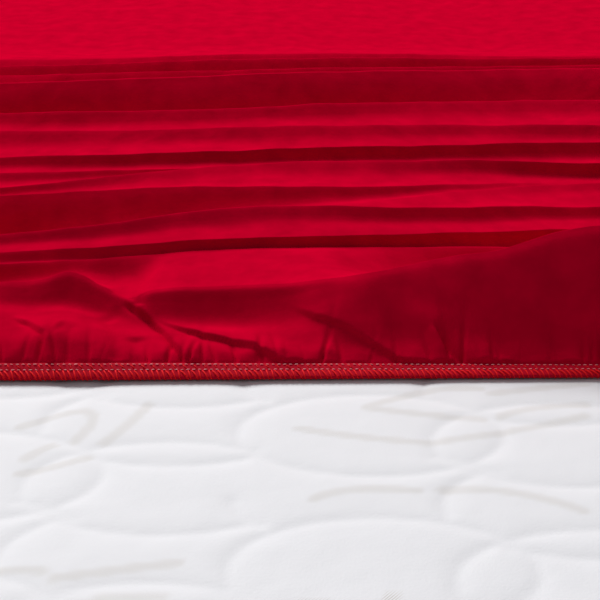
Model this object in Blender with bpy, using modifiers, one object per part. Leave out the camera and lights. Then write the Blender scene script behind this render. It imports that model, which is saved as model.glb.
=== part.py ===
"""A fitted sheet drawn back over a single mattress.

The sheet is on at the head and drawn back at the foot. Its elastic edge runs straight across the top
of the mattress, and behind it the slack cloth lies in long uneven folds that go on down both sides.
Metres, +Z up, the foot of the mattress towards -Y. The origin is under the middle of the mattress.
"""

import math
from collections import namedtuple

import bmesh
import bpy
import numpy as np

COLLECTION = "fitted_sheet_on_mattress"

# Mattress
WIDTH = 0.90
LENGTH = 2.00
HEIGHT = 0.20
PLAN_CORNER = 0.070
EDGE_ROUND = 0.038
PLAN_STEPS = 6
EDGE_STEPS = 4

# Sheet cloth: it lies CLEAR_TOP above the mattress and hangs CLEAR_SIDE off its walls
CLOTH = 0.0016
CLEAR_TOP = 0.0005
CLEAR_SIDE = 0.0015
SHEET_ROUND = 0.034
SHEET_CORNER = 0.064
SHEET_LOW_ROUND = EDGE_ROUND + CLEAR_SIDE
TUCK_TURN = math.radians(30)

# Elastic edging: a flat band that carries on from the cloth's edge
BAND_WIDE = 0.010
BAND_THICK = 0.0022
SEAM_GAP = 0.0011
BAND_REST = 0.0016
SIDE_LIFT = 0.0022

# The edge across the top, how far it falls back down the sides, and where the folds end behind it
HEM_Y = -0.73
HEM_FALL = 0.40
FOLD_REACH = 0.75

# The folds flatten on their way down the sides, to this share of their height at the lower edge.
LOW_FOLDS = 0.06
SETTLE = 0.7

# Stations across the bed, metres from its middle, at which the folds' places and heights are given
STATIONS = (-0.45, -0.19, -0.13, -0.065, 0.00, 0.065, 0.13, 0.19, 0.45)
RISE_STATIONS = (-0.20, 0.00, 0.20)

# How a fold climbs from the trough in front of it to its crest: (share of the way, share of the climb)
CLIMBS = {
    "rise": ((0.0, 0.0), (0.15, 0.02), (0.34, 0.10), (0.50, 0.22), (0.64, 0.42), (0.80, 0.70), (0.92, 0.91),
             (1.0, 1.0)),
    "late": ((0.0, 0.0), (0.25, 0.02), (0.50, 0.09), (0.66, 0.22), (0.80, 0.52), (0.92, 0.86), (1.0, 1.0)),
    "face": ((0.0, 0.0), (0.15, 0.10), (0.45, 0.42), (0.75, 0.78), (1.0, 1.0)),
    "spread": ((0.0, 0.0), (0.10, 0.04), (0.25, 0.15), (0.50, 0.47), (0.75, 0.79), (0.90, 0.94), (1.0, 1.0)),
    "ledge": ((0.0, 0.0), (0.40, 0.21), (0.75, 0.44), (0.86, 0.70), (0.95, 0.95), (1.0, 1.0)),
    "flap": ((0.0, 0.0), (0.10, 0.10), (0.20, 0.25), (0.36, 0.40), (0.60, 0.45), (0.79, 0.49), (0.88, 0.72),
             (0.96, 0.94), (1.0, 1.0)),
}
FALL = 1.2

# One row a fold, front to back. back: the crest's distance behind the edge at each station.
# rise: the crest's height at the left, middle and right. dip: the trough's depth in front of it, as a
# share of its height, at the same places. valley: how far on from the crest in front that trough is.
# climb: how the fold climbs at the left and right.
Fold = namedtuple("Fold", "name back rise dip valley climb")
FOLDS = (
    Fold("broad", (0.096, 0.088, 0.096, 0.109, 0.116, 0.118, 0.118, 0.118, 0.116),
         (0.027, 0.027, 0.026), (0.0, 0.0, 0.0), 0.50, ("rise", "rise")),
    Fold("shoulder", (0.104, 0.0955, 0.103, 0.114, 0.121, 0.125, 0.130, 0.136, 0.140),
         (0.0315, 0.0325, 0.032), (0.02, 0.16, 0.22), 0.25, ("face", "late")),
    Fold("third", (0.120, 0.112, 0.122, 0.143, 0.151, 0.149, 0.155, 0.158, 0.162),
         (0.037, 0.042, 0.038), (0.04, 0.05, 0.06), 0.30, ("rise", "late")),
    Fold("crossing", (0.136, 0.128, 0.138, 0.157, 0.166, 0.179, 0.193, 0.198, 0.204),
         (0.025, 0.034, 0.041), (0.10, 0.08, 0.06), 0.40, ("rise", "late")),
    Fold("long", (0.184, 0.181, 0.188, 0.191, 0.190, 0.194, 0.208, 0.213, 0.220),
         (0.038, 0.041, 0.034), (0.70, 0.12, 0.10), 0.42, ("face", "rise")),
    Fold("fourth", (0.200, 0.194, 0.209, 0.225, 0.232, 0.233, 0.235, 0.231, 0.236),
         (0.039, 0.044, 0.044), (0.08, 0.08, 0.08), 0.35, ("rise", "late")),
    Fold("branch", (0.226, 0.217, 0.224, 0.234, 0.240, 0.243, 0.246, 0.245, 0.248),
         (0.042, 0.038, 0.036), (0.10, 0.10, 0.10), 0.45, ("rise", "rise")),
    Fold("fifth", (0.248, 0.244, 0.248, 0.253, 0.260, 0.265, 0.271, 0.275, 0.280),
         (0.044, 0.045, 0.044), (0.12, 0.10, 0.10), 0.40, ("late", "late")),
    Fold("sixth", (0.298, 0.300, 0.302, 0.305, 0.310, 0.313, 0.315, 0.315, 0.318),
         (0.045, 0.046, 0.045), (0.16, 0.15, 0.16), 0.35, ("late", "late")),
    Fold("seventh", (0.344, 0.345, 0.348, 0.352, 0.361, 0.368, 0.373, 0.377, 0.378),
         (0.046, 0.047, 0.046), (0.18, 0.17, 0.16), 0.35, ("late", "late")),
    Fold("eighth", (0.414, 0.416, 0.422, 0.429, 0.436, 0.442, 0.448, 0.454, 0.446),
         (0.051, 0.053, 0.051), (0.75, 0.72, 0.60), 0.35, ("face", "face")),
    Fold("ninth", (0.470, 0.475, 0.480, 0.485, 0.490, 0.495, 0.500, 0.505, 0.512),
         (0.041, 0.042, 0.040), (0.45, 0.45, 0.45), 0.40, ("rise", "rise")),
    Fold("tenth", (0.520, 0.530, 0.536, 0.541, 0.545, 0.549, 0.552, 0.555, 0.560),
         (0.035, 0.037, 0.034), (0.50, 0.52, 0.55), 0.40, ("rise", "rise")),
    Fold("last", (0.598, 0.600, 0.603, 0.606, 0.609, 0.613, 0.617, 0.618, 0.612),
         (0.022, 0.025, 0.020), (0.60, 0.60, 0.60), 0.45, ("rise", "rise")),
)

# The roll that stands up behind the edge: its crest's distance behind the edge and its height, how much
# it climbs in a ledge and then a step, how much it climbs as a flap that lies flat below its crest, and
# how deep the trough behind it is as a share of its height
FRONT_COLUMNS = ("x", "back", "rise", "ledge", "flap", "hollow")
FRONT = (
    (-0.45, 0.046, 0.026, 0.0, 0.0, 0.65),
    (-0.25, 0.050, 0.024, 0.0, 0.0, 0.65),
    (-0.20, 0.058, 0.0270, 0.0, 0.3, 0.50),
    (-0.172, 0.062, 0.0275, 0.0, 0.6, 0.32),
    (-0.150, 0.065, 0.0282, 0.0, 0.8, 0.28),
    (-0.1357, 0.069, 0.0310, 0.0, 1.0, 0.24),
    (-0.128, 0.067, 0.0297, 0.0, 1.0, 0.24),
    (-0.117, 0.062, 0.0252, 0.0, 1.0, 0.26),
    (-0.106, 0.057, 0.0232, 0.2, 0.8, 0.28),
    (-0.096, 0.054, 0.0225, 0.7, 0.3, 0.24),
    (-0.084, 0.054, 0.0250, 1.0, 0.0, 0.0),
    (-0.040, 0.057, 0.0270, 1.0, 0.0, 0.0),
    (-0.010, 0.054, 0.0297, 0.7, 0.0, 0.0),
    (0.018, 0.048, 0.0353, 0.15, 0.0, 0.06),
    (0.037, 0.046, 0.039, 0.0, 0.0, 0.25),
    (0.064, 0.051, 0.043, 0.1, 0.0, 0.50),
    (0.092, 0.050, 0.049, 0.0, 0.0, 0.65),
    (0.110, 0.050, 0.051, 0.0, 0.0, 0.70),
    (0.148, 0.054, 0.062, 0.0, 0.0, 0.75),
    (0.180, 0.055, 0.066, 0.0, 0.0, 0.75),
    (0.25, 0.056, 0.056, 0.0, 0.0, 0.75),
    (0.45, 0.050, 0.036, 0.0, 0.0, 0.75),
)
FRONT_STEPS = (0.04, 0.4, 0.75, 0.93, 1.0)
CLIMB_SHARES = (0.30, 0.76, 1.0)
END_STEPS = 2

# Soft gathers that slant from the front roll down to the edge, each a ridge with a steep right side.
# top_x and top_back place the upper end, foot_x the lower end at the edge.
Gather = namedtuple("Gather", "top_x top_back foot_x height")
GATHERS = (
    Gather(-0.300, 0.045, -0.250, 0.0050),
    Gather(-0.104, 0.054, -0.062, 0.0050),
    Gather(-0.082, 0.036, -0.010, 0.0045),
    Gather(-0.008, 0.040, 0.060, 0.0045),
    Gather(0.040, 0.036, 0.108, 0.0050),
    Gather(0.240, 0.045, 0.300, 0.0050),
)
GATHER_LEFT = 0.016
GATHER_RIGHT = 0.007
GATHER_START = 0.010
GATHER_RUN_ON = 1.3
GATHER_FADE = 0.4

# The elastic edging across the top. foot: how far behind the nominal line its free edge rests.
# tilt: how steeply it leans up to the cloth.
EDGING_COLUMNS = ("x", "foot", "tilt_deg")
EDGING = (
    (-0.45, -0.0120, 22.0),
    (-0.17, -0.0105, 28.0),
    (0.00, -0.0085, 19.0),
    (0.17, -0.0065, 8.0),
    (0.45, -0.0080, 16.0),
)

# The edging's way out of the cloth where it turns from the front into the right skirt
TURN_WAY = (1.5, -0.8)

# Mesh: steps over the half width, over the edges and along the smooth part
COLUMNS_INNER = 8
INNER_HALF = 0.17
COLUMNS_OUTER = 4
CORNER_STEPS = 2
ROUND_STEPS = 3
WALL_STEPS = 2
SMOOTH_ROWS = 2
WELD = 0.0001
SAME = 1e-6

CRIMSON = (0.56, 0.0, 0.012)
CRIMSON_THREAD = (0.50, 0.0, 0.012)
TICKING_WHITE = (0.80, 0.80, 0.84)

# Derived sizes of the sheet's own path
FLAT_X = WIDTH / 2 + CLEAR_SIDE - SHEET_ROUND
FLAT_Y = LENGTH / 2 + CLEAR_SIDE - SHEET_ROUND
CORNER = SHEET_CORNER - SHEET_ROUND
TOP_Z = HEIGHT + CLEAR_TOP
ROUND_ARC = SHEET_ROUND * math.pi / 2
WALL = TOP_Z - SHEET_ROUND - EDGE_ROUND
TUCK_ARC = SHEET_LOW_ROUND * TUCK_TURN
SKIRT = ROUND_ARC + WALL + TUCK_ARC


def clear_scene():
    for obj in list(bpy.data.objects):
        bpy.data.objects.remove(obj, do_unlink=True)


def fabric(name, colour, roughness):
    """A matt cloth of one colour."""
    material = bpy.data.materials.new(name)
    material.use_nodes = True
    shader = material.node_tree.nodes["Principled BSDF"]
    shader.inputs["Base Color"].default_value = (*colour, 1.0)
    shader.inputs["Roughness"].default_value = roughness
    shader.inputs["Metallic"].default_value = 0.0
    material.diffuse_color = (*colour, 1.0)
    return material


def curve_through(places, values, x):
    """The smooth curve through values at places, read at x."""
    places = np.asarray(places, float)
    values = np.asarray(values, float)
    slopes = np.gradient(values, places)
    i = np.clip(np.searchsorted(places, x) - 1, 0, len(places) - 2)
    span = places[i + 1] - places[i]
    p = np.clip((x - places[i]) / span, 0.0, 1.0)
    start = (1 + 2 * p) * (1 - p) ** 2 * values[i] + p * (1 - p) ** 2 * span * slopes[i]
    end = p * p * (3 - 2 * p) * values[i + 1] + p * p * (p - 1) * span * slopes[i + 1]
    return start + end


def edge_section(past):
    """The sheet's path over an edge, at an arc length past the flat top.

    Returns how far out and how high the point is, and its normal's two parts.
    """
    turn = np.clip(past / SHEET_ROUND, 0.0, math.pi / 2)
    down = np.clip(past - ROUND_ARC, 0.0, WALL)
    under = np.clip(past - ROUND_ARC - WALL, 0.0, None) / SHEET_LOW_ROUND
    out = SHEET_ROUND * np.sin(turn) - SHEET_LOW_ROUND * (1 - np.cos(under))
    high = TOP_Z - SHEET_ROUND * (1 - np.cos(turn)) - down - SHEET_LOW_ROUND * np.sin(under)
    return out, high, np.sin(turn) * np.cos(under), np.cos(turn) - np.sin(under)


def skin(u, v, lift):
    """The point at girth u across and v along the bed, raised by lift off the covered mattress."""
    u, v, lift = np.broadcast_arrays(*(np.asarray(a, float) for a in (u, v, lift)))
    side = np.sign(u)
    past = np.maximum(np.maximum(np.abs(u) - FLAT_X, v - FLAT_Y), 0.0)
    across = np.maximum(np.minimum(np.abs(u), FLAT_X) - (FLAT_X - CORNER), 0.0)
    along = np.maximum(np.minimum(v, FLAT_Y) - (FLAT_Y - CORNER), 0.0)
    reach = np.maximum(across, along)
    spread = np.maximum(np.hypot(across, along), SAME)
    out_x = side * across / spread
    out_y = along / spread
    out, high, lean, stand = edge_section(past)
    plan_x = side * np.minimum(np.abs(u), FLAT_X - CORNER) + out_x * reach
    plan_y = np.minimum(v, FLAT_Y - CORNER) + out_y * reach
    place = np.stack([plan_x + out_x * out, plan_y + out_y * out, high], axis=-1)
    normal = np.stack([out_x * lean, out_y * lean, stand], axis=-1)
    return place + normal * lift[..., None]


def column_of(table, columns, name):
    return np.array([row[columns.index(name)] for row in table])


def edging_at(x):
    """The cloth's edge across the top at x: its distance back, its height and the edging's tilt."""
    places = column_of(EDGING, EDGING_COLUMNS, "x")
    foot = curve_through(places, column_of(EDGING, EDGING_COLUMNS, "foot"), x)
    tilt = np.radians(curve_through(places, column_of(EDGING, EDGING_COLUMNS, "tilt_deg"), x))
    return foot + BAND_WIDE * np.cos(tilt), BAND_REST + BAND_WIDE * np.sin(tilt), tilt


def front_at(x, name):
    """A column of the front roll's table, read at x."""
    places = column_of(FRONT, FRONT_COLUMNS, "x")
    return curve_through(places, column_of(FRONT, FRONT_COLUMNS, name), x)


def fold_lines(x):
    """Distances back and heights of the edge and of every crest and trough behind it, at x."""
    hem_back, hem_lift, _ = edging_at(x)
    backs = [hem_back, front_at(x, "back")]
    rises = [hem_lift - CLOTH / 2, front_at(x, "rise")]
    inner = np.clip(x, RISE_STATIONS[0], RISE_STATIONS[-1])
    for fold in FOLDS:
        crest_back = curve_through(STATIONS, fold.back, x)
        crest_rise = curve_through(RISE_STATIONS, fold.rise, inner)
        depth = curve_through(RISE_STATIONS, fold.dip, inner)
        if fold is FOLDS[0]:
            depth = np.clip(front_at(x, "hollow"), 0.0, 1.0)
        level = rises[-1] + (crest_rise - rises[-1]) * fold.valley
        backs += [backs[-1] + (crest_back - backs[-1]) * fold.valley, crest_back]
        rises += [level * (1 - depth), crest_rise]
    backs.append(np.full_like(x, FOLD_REACH))
    rises.append(np.zeros_like(x))
    return np.array(backs), np.array(rises)


def climb_at(name, share):
    """The share of a climb reached at a share of the way, on the named climb."""
    ways, heights = zip(*CLIMBS[name])
    return float(curve_through(ways, heights, share))


def fold_at(row, x):
    """Distance back and height of a row of the folds: whole numbers are crests and troughs."""
    backs, rises = fold_lines(x)
    line = min(int(row), len(backs) - 2)
    share = row - line
    back = backs[line] + (backs[line + 1] - backs[line]) * share
    climb = rises[line + 1] - rises[line]
    if line == 0:
        ledge = np.clip(front_at(x, "ledge"), 0.0, 1.0)
        flap = np.clip(front_at(x, "flap"), 0.0, 1.0)
        ease = (1 - ledge - flap) * climb_at("spread", share)
        ease += ledge * climb_at("ledge", share) + flap * climb_at("flap", share)
        _, _, tilt = edging_at(x)
        return back, rises[0] + climb * ease + (1 - share) ** 4 * np.tan(tilt) * (back - backs[0])
    if line % 2:
        return back, rises[line] + climb * math.sin(share * math.pi / 2) ** FALL
    left, right = (climb_at(name, share) for name in FOLDS[line // 2 - 1].climb)
    over = np.clip((x - RISE_STATIONS[0]) / (RISE_STATIONS[-1] - RISE_STATIONS[0]), 0.0, 1.0)
    return back, rises[line] + climb * (left + (right - left) * over)


def gathers_at(x, back):
    """Height that the slanting gathers add near the edge."""
    added = np.zeros_like(x)
    for gather in GATHERS:
        share = np.clip(back / gather.top_back, 0.0, GATHER_RUN_ON)
        off = x - (gather.foot_x + (gather.top_x - gather.foot_x) * share)
        width = np.where(off < 0, GATHER_LEFT, GATHER_RIGHT)
        fade = np.clip(back / GATHER_START, 0.0, 1.0)
        fade = fade * np.clip((GATHER_RUN_ON - share) / GATHER_FADE, 0.0, 1.0)
        added += gather.height * fade * np.exp(-((off / width) ** 2))
    return added


def skirt_share(place, flat_end):
    """How far down the skirt a place is: 0 on the flat top and 1 at the lower edge."""
    return np.clip((np.abs(place) - flat_end) / SKIRT, 0.0, 1.0)


def sheet_row(row, u):
    """Place along the bed and height of one row of the folded part, at each girth u."""
    x = np.clip(u, STATIONS[0], STATIONS[-1])
    back, lift = fold_at(row, x)
    lift = lift + gathers_at(x, back)
    down = skirt_share(u, FLAT_X)
    fall = HEM_FALL * down**2
    lift = lift * (1 - (1 - LOW_FOLDS) * down**SETTLE) + SIDE_LIFT * down
    return HEM_Y + fall + back * (1 - fall / FOLD_REACH), lift


def steps(start, end, count):
    """count places from just after start up to end."""
    return [start + (end - start) * (k + 1) / count for k in range(count)]


def skirt_places(flat_end):
    """Places over the edge and down the skirt, past the flat top's end."""
    wall_top = flat_end + ROUND_ARC
    return (
        steps(flat_end - CORNER, flat_end, CORNER_STEPS)
        + steps(flat_end, wall_top, ROUND_STEPS)
        + steps(wall_top, wall_top + WALL, WALL_STEPS)
        + [flat_end + SKIRT]
    )


def columns():
    """Girths of the mesh's columns, from the left hem to the right one."""
    half = steps(0.0, INNER_HALF, COLUMNS_INNER)
    half += steps(INNER_HALF, FLAT_X - CORNER, COLUMNS_OUTER)
    half += skirt_places(FLAT_X)
    return np.array([-u for u in reversed(half)] + [0.0] + half)


def folded_rows():
    """Row numbers of the folded part, from the edge to where the folds end."""
    rows = [0.0, *FRONT_STEPS]
    for crest in range(1, 2 * len(FOLDS), 2):
        rows += [crest + 1] + [crest + 1 + share for share in CLIMB_SHARES]
    return rows + steps(rows[-1], rows[-1] + 1, END_STEPS)


def sheet_grid():
    """Girth, length and lift of every point of the sheet's inner face, row by row."""
    u = columns()
    rows = [(u, *sheet_row(row, u)) for row in folded_rows()]
    smooth = steps(HEM_Y + FOLD_REACH, FLAT_Y - CORNER, SMOOTH_ROWS)
    for v in smooth + skirt_places(FLAT_Y):
        down = np.maximum(skirt_share(u, FLAT_X), skirt_share(max(v, 0.0), FLAT_Y))
        rows.append((u, np.full_like(u, v), SIDE_LIFT * down))
    return [np.array(part) for part in zip(*rows)]


def sheet_cloth(grid, material):
    """One cut of cloth, its two head corners cut out square and sewn up: an open surface, solidified."""
    u, v, lift = grid
    points = skin(u, v, lift)
    kept = (np.abs(u) <= FLAT_X + SAME) | (v <= FLAT_Y + SAME)
    shape = bmesh.new()
    verts = {}
    for row, column in np.argwhere(kept):
        verts[row, column] = shape.verts.new(points[row, column])
    for row, column in verts:
        corners = [(row, column), (row, column + 1), (row + 1, column + 1), (row + 1, column)]
        if all(corner in verts for corner in corners):
            shape.faces.new([verts[corner] for corner in corners])
    bmesh.ops.remove_doubles(shape, verts=shape.verts[:], dist=WELD)
    obj = finished("sheet_cloth", shape, material)
    wall = obj.modifiers.new("cloth", "SOLIDIFY")
    wall.thickness = CLOTH
    wall.offset = 1.0
    return obj


def edge_loop(grid):
    """The sheet's edge all round: girth, length, lift, tilt and the way out of the cloth.

    It runs across the front from left to right, along the right skirt to the head, round the head's
    skirt and back along the left.
    """
    u, v, lift = grid
    side = u[0].max()
    along = np.argwhere(v[:, 0] <= FLAT_Y + SAME)[1:, 0]
    slope = np.gradient(v[0], u[0])
    _, _, tilt = edging_at(np.clip(u[0], STATIONS[0], STATIONS[-1]))
    tilt = tilt * (1 - skirt_share(u[0], FLAT_X))
    loop = [(u[0, k], v[0, k], lift[0, k], tilt[k], slope[k], -1.0) for k in range(len(u[0]))]
    loop[0] = (*loop[0][:4], -TURN_WAY[0], TURN_WAY[1])
    loop[-1] = (*loop[-1][:4], *TURN_WAY)
    loop += [(side, v[row, -1], lift[row, -1], 0.0, 1.0, 0.0) for row in along]
    for k in np.argwhere(np.abs(u[-1]) < FLAT_X - SAME)[::-1, 0]:
        loop.append((u[-1, k], v[-1, k], lift[-1, k], 0.0, 0.0, 1.0))
    loop += [(-side, v[row, 0], lift[row, 0], 0.0, -1.0, 0.0) for row in along[::-1]]
    return loop


def band_section(u, v, lift, tilt, out_u, out_v):
    """Four corners of the edging's section, from the sheet's edge outwards."""
    size = math.hypot(out_u, out_v)
    middle = lift + CLOTH / 2
    corners = []
    for reach, side in ((0, -1), (BAND_WIDE, -1), (BAND_WIDE, 1), (0, 1)):
        away = SEAM_GAP + reach * math.cos(tilt) + side * BAND_THICK / 2 * math.sin(tilt)
        high = middle - reach * math.sin(tilt) + side * BAND_THICK / 2 * math.cos(tilt)
        corners.append(skin(u + out_u / size * away, v + out_v / size * away, high))
    return corners


def elastic_edging(grid, material):
    """The elastic band overlocked to the sheet's edge: one closed ring of flat section."""
    shape = bmesh.new()
    rings = [[shape.verts.new(p) for p in band_section(*place)] for place in edge_loop(grid)]
    for ring, following in zip(rings, rings[1:] + rings[:1]):
        for k in range(4):
            near, far = ring[k], ring[(k + 1) % 4]
            shape.faces.new([near, far, following[(k + 1) % 4], following[k]])
    return finished("elastic_edging", shape, material)


def mattress(material):
    """A block with rounded upright corners and softly rounded top and bottom edges."""
    shape = bmesh.new()
    bmesh.ops.create_cube(shape, size=1.0)
    bmesh.ops.scale(shape, vec=(WIDTH, LENGTH, HEIGHT), verts=shape.verts[:])
    bmesh.ops.translate(shape, vec=(0.0, 0.0, HEIGHT / 2), verts=shape.verts[:])
    upright = [e for e in shape.edges if abs(e.verts[0].co.z - e.verts[1].co.z) > HEIGHT / 2]
    round_off(shape, upright, PLAN_CORNER, PLAN_STEPS)
    flat = [f for f in shape.faces if abs(f.normal.z) > 0.5]
    rims = {e for f in flat for e in f.edges}
    round_off(shape, rims, EDGE_ROUND, EDGE_STEPS)
    return finished("mattress", shape, material)


def round_off(shape, edges, radius, count):
    bmesh.ops.bevel(
        shape,
        geom=list(edges),
        offset=radius,
        offset_type="OFFSET",
        segments=count,
        profile=0.5,
        affect="EDGES",
    )
    shape.normal_update()


def finished(name, shape, material):
    """A smooth-shaded object made of the shape, in the model's collection."""
    bmesh.ops.recalc_face_normals(shape, faces=shape.faces[:])
    mesh = bpy.data.meshes.new(name)
    shape.to_mesh(mesh)
    shape.free()
    mesh.shade_smooth()
    mesh.materials.append(material)
    obj = bpy.data.objects.new(name, mesh)
    bpy.data.collections[COLLECTION].objects.link(obj)
    return obj


def main():
    clear_scene()
    collection = bpy.data.collections.new(COLLECTION)
    bpy.context.scene.collection.children.link(collection)
    grid = sheet_grid()
    mattress(fabric("white_ticking", TICKING_WHITE, 0.85))
    sheet_cloth(grid, fabric("crimson_cloth", CRIMSON, 0.62))
    elastic_edging(grid, fabric("crimson_edging", CRIMSON_THREAD, 0.75))


main()
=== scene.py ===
"""Looks for a fitted sheet drawn back over a single mattress.

Crimson cloth lies in long uneven folds behind its elastic edge, on a white quilted mattress. Every
piece is built at its real size in metres, +Z up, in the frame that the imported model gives.
"""

import math
from collections import namedtuple
from functools import cache

import bmesh
import bpy
import numpy as np
from bpy.props import FloatProperty, FloatVectorProperty, PointerProperty
from bpy.types import Operator, Panel, PropertyGroup
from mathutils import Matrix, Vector
from mathutils.kdtree import KDTree


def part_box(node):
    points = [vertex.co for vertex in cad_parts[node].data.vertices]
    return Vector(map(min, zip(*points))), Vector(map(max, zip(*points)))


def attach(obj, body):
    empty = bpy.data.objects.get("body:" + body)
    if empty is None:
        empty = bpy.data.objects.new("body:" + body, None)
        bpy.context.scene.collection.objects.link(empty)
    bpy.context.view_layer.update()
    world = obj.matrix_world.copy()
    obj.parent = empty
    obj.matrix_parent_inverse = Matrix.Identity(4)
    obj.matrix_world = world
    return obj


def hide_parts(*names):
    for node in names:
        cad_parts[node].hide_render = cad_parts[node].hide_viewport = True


bl_info = {
    "name": "Fitted sheet drawn back over a mattress",
    "version": (1, 0, 0),
    "blender": (4, 5, 0),
    "location": "View3D > Sidebar > Bedding",
    "description": "Makes the quilted mattress, the fitted sheet, its elastic edging and the stage",
    "category": "Object",
}

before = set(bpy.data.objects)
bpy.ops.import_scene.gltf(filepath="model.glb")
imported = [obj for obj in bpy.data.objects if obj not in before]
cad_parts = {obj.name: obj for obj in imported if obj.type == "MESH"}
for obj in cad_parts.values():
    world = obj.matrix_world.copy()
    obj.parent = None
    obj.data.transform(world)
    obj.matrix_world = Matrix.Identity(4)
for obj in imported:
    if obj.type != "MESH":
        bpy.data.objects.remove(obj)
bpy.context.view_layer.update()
BODY = "root"
CLOTH_PIECE = "sheet_cloth_fabric"

MATTRESS_LOW, MATTRESS_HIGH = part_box("mattress")
WIDTH = MATTRESS_HIGH.x - MATTRESS_LOW.x
LENGTH = MATTRESS_HIGH.y - MATTRESS_LOW.y
HEIGHT = MATTRESS_HIGH.z - MATTRESS_LOW.z
PLAN_CORNER = 0.070
EDGE_ROUND = 0.038

# The sheet's path over the mattress
CLOTH = 0.0016
CLEAR_TOP = 0.0005
CLEAR_SIDE = 0.0015
SHEET_ROUND = 0.034
SHEET_CORNER = 0.064
TUCK_TURN = math.radians(30)

# The elastic edging, and how far it holds the cloth off the mattress's sides
BAND_WIDE = 0.010
BAND_THICK = 0.0022
BAND_REST = 0.0016
BAND_LAP = 0.0012
SIDE_LIFT = 0.0022

# The edge across the top, its fall down the sides, the end of the folds, their flattening down the
# sides, and how near the edge the cloth's finer relief starts
HEM_Y = -0.73
HEM_FALL = 0.40
FOLD_REACH = 0.75
LOW_FOLDS = 0.06
SETTLE = 0.7
LIFT_START = 0.002

# Lengths that differ by less count as the same, and points that lie closer are merged
SAME = 1e-6
WELD = 0.0001

# Stations across the bed at which the folds' places and heights are given
STATIONS = (-0.45, -0.19, -0.13, -0.065, 0.00, 0.065, 0.13, 0.19, 0.45)
RISE_STATIONS = (-0.20, 0.00, 0.20)

# How a fold climbs from the trough in front of it to its crest: (share of the way, share of the climb).
# Each climb starts at (0, 0) and ends at (1, 1). FALL: how sharply it falls again behind its crest.
CLIMBS = {
    "rise": ((0.15, 0.02), (0.34, 0.10), (0.50, 0.22), (0.64, 0.42), (0.80, 0.70), (0.92, 0.91)),
    "late": ((0.25, 0.02), (0.50, 0.09), (0.66, 0.22), (0.80, 0.52), (0.92, 0.86)),
    "face": ((0.15, 0.10), (0.45, 0.42), (0.75, 0.78)),
    "spread": ((0.10, 0.04), (0.25, 0.15), (0.50, 0.47), (0.75, 0.79), (0.90, 0.94)),
    "ledge": ((0.40, 0.21), (0.75, 0.44), (0.86, 0.70), (0.95, 0.95)),
    "flap": ((0.10, 0.10), (0.20, 0.25), (0.36, 0.40), (0.60, 0.45), (0.79, 0.49), (0.88, 0.72),
             (0.96, 0.94)),
}
FALL = 1.2
TILT_FADE = 4  # how soon the cloth leaves the edging's tilt

# One row a fold, front to back. back: the crest's distance behind the edge at each station.
# rise: the crest's height at the left, middle and right. dip: the trough's depth in front of it, as a
# share of its height, at the same places. valley: how far on from the crest in front that trough is.
# climb: how the fold climbs at the left and right.
Fold = namedtuple("Fold", "name back rise dip valley climb")
FOLDS = (
    Fold("broad", (0.096, 0.088, 0.096, 0.109, 0.116, 0.118, 0.118, 0.118, 0.116),
         (0.027, 0.027, 0.026), (0.0, 0.0, 0.0), 0.50, ("rise", "rise")),
    Fold("shoulder", (0.104, 0.0955, 0.103, 0.114, 0.121, 0.125, 0.130, 0.136, 0.140),
         (0.0315, 0.0325, 0.032), (0.02, 0.16, 0.22), 0.25, ("face", "late")),
    Fold("third", (0.120, 0.112, 0.122, 0.143, 0.151, 0.149, 0.155, 0.158, 0.162),
         (0.037, 0.042, 0.038), (0.04, 0.05, 0.06), 0.30, ("rise", "late")),
    Fold("crossing", (0.136, 0.128, 0.138, 0.157, 0.166, 0.179, 0.193, 0.198, 0.204),
         (0.025, 0.034, 0.041), (0.10, 0.08, 0.06), 0.40, ("rise", "late")),
    Fold("long", (0.184, 0.181, 0.188, 0.191, 0.190, 0.194, 0.208, 0.213, 0.220),
         (0.038, 0.041, 0.034), (0.70, 0.12, 0.10), 0.42, ("face", "rise")),
    Fold("fourth", (0.200, 0.194, 0.209, 0.225, 0.232, 0.233, 0.235, 0.231, 0.236),
         (0.039, 0.044, 0.044), (0.08, 0.08, 0.08), 0.35, ("rise", "late")),
    Fold("branch", (0.226, 0.217, 0.224, 0.234, 0.240, 0.243, 0.246, 0.245, 0.248),
         (0.042, 0.038, 0.036), (0.10, 0.10, 0.10), 0.45, ("rise", "rise")),
    Fold("fifth", (0.248, 0.244, 0.248, 0.253, 0.260, 0.265, 0.271, 0.275, 0.280),
         (0.044, 0.045, 0.044), (0.12, 0.10, 0.10), 0.40, ("late", "late")),
    Fold("sixth", (0.298, 0.300, 0.302, 0.305, 0.310, 0.313, 0.315, 0.315, 0.318),
         (0.045, 0.046, 0.045), (0.16, 0.15, 0.16), 0.35, ("late", "late")),
    Fold("seventh", (0.344, 0.345, 0.348, 0.352, 0.361, 0.368, 0.373, 0.377, 0.378),
         (0.046, 0.047, 0.046), (0.18, 0.17, 0.16), 0.35, ("late", "late")),
    Fold("eighth", (0.414, 0.416, 0.422, 0.429, 0.436, 0.442, 0.448, 0.454, 0.446),
         (0.051, 0.053, 0.051), (0.75, 0.72, 0.60), 0.35, ("face", "face")),
    Fold("ninth", (0.470, 0.475, 0.480, 0.485, 0.490, 0.495, 0.500, 0.505, 0.512),
         (0.041, 0.042, 0.040), (0.45, 0.45, 0.45), 0.40, ("rise", "rise")),
    Fold("tenth", (0.520, 0.530, 0.536, 0.541, 0.545, 0.549, 0.552, 0.555, 0.560),
         (0.035, 0.037, 0.034), (0.50, 0.52, 0.55), 0.40, ("rise", "rise")),
    Fold("last", (0.598, 0.600, 0.603, 0.606, 0.609, 0.613, 0.617, 0.618, 0.612),
         (0.022, 0.025, 0.020), (0.60, 0.60, 0.60), 0.45, ("rise", "rise")),
)

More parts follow.
